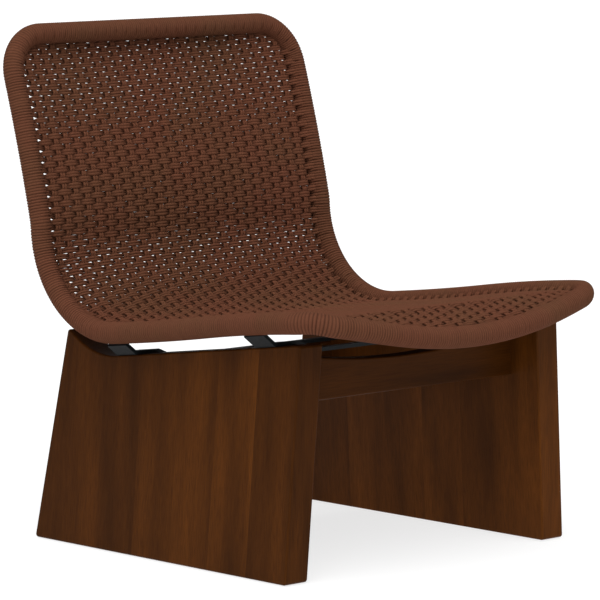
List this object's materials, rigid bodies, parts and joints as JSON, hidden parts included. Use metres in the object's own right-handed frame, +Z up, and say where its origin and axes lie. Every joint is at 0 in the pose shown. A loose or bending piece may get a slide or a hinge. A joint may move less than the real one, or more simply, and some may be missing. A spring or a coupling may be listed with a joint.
{
  "type": "woven rope lounge chair",
  "caption": "Low armless lounge chair: a curved shell of woven rope on a wrapped tube rim, carried by two splayed solid wood side panels joined by rails.",
  "frame": {"origin": "on the floor, under the middle of the whole chair", "axes": "+Z up, -Y the way the chair faces, +X to the viewer's right when facing +Y"},
  "size_m": [0.6546, 0.7853, 0.8303],
  "materials": {
    "stained_hardwood": "satin walnut stain, open grain",
    "beech": "plain",
    "brown_rope": "braided rope, matte",
    "black_steel": "fine textured powder coat",
    "zinc_steel": "zinc plated",
    "nylon": "matte"
  },
  "bodies": {
    "root": {"foot_glides": "nylon", "front_rail": "stained_hardwood", "front_rim_tube": "black_steel", "front_rim_wrap": "brown_rope", "front_strap": "black_steel", "left_board_1": "stained_hardwood", "left_board_2": "stained_hardwood", "left_board_3": "stained_hardwood", "left_board_4": "stained_hardwood", "left_board_5": "stained_hardwood", "left_board_6": "stained_hardwood", "left_board_7": "stained_hardwood", "left_rim_tube": "black_steel", "left_rim_wrap": "brown_rope", "rail_dowels": "beech", "rear_rail": "stained_hardwood", "rear_strap": "black_steel", "right_board_1": "stained_hardwood", "right_board_2": "stained_hardwood", "right_board_3": "stained_hardwood", "right_board_4": "stained_hardwood", "right_board_5": "stained_hardwood", "right_board_6": "stained_hardwood", "right_board_7": "stained_hardwood", "right_rim_tube": "black_steel", "right_rim_wrap": "brown_rope", "strap_screws": "zinc_steel", "top_rim_tube": "black_steel", "top_rim_wrap": "brown_rope", "woven_back": "brown_rope", "woven_bend": "brown_rope", "woven_front": "brown_rope", "woven_seat": "brown_rope"}
  },
  "joints": []
}
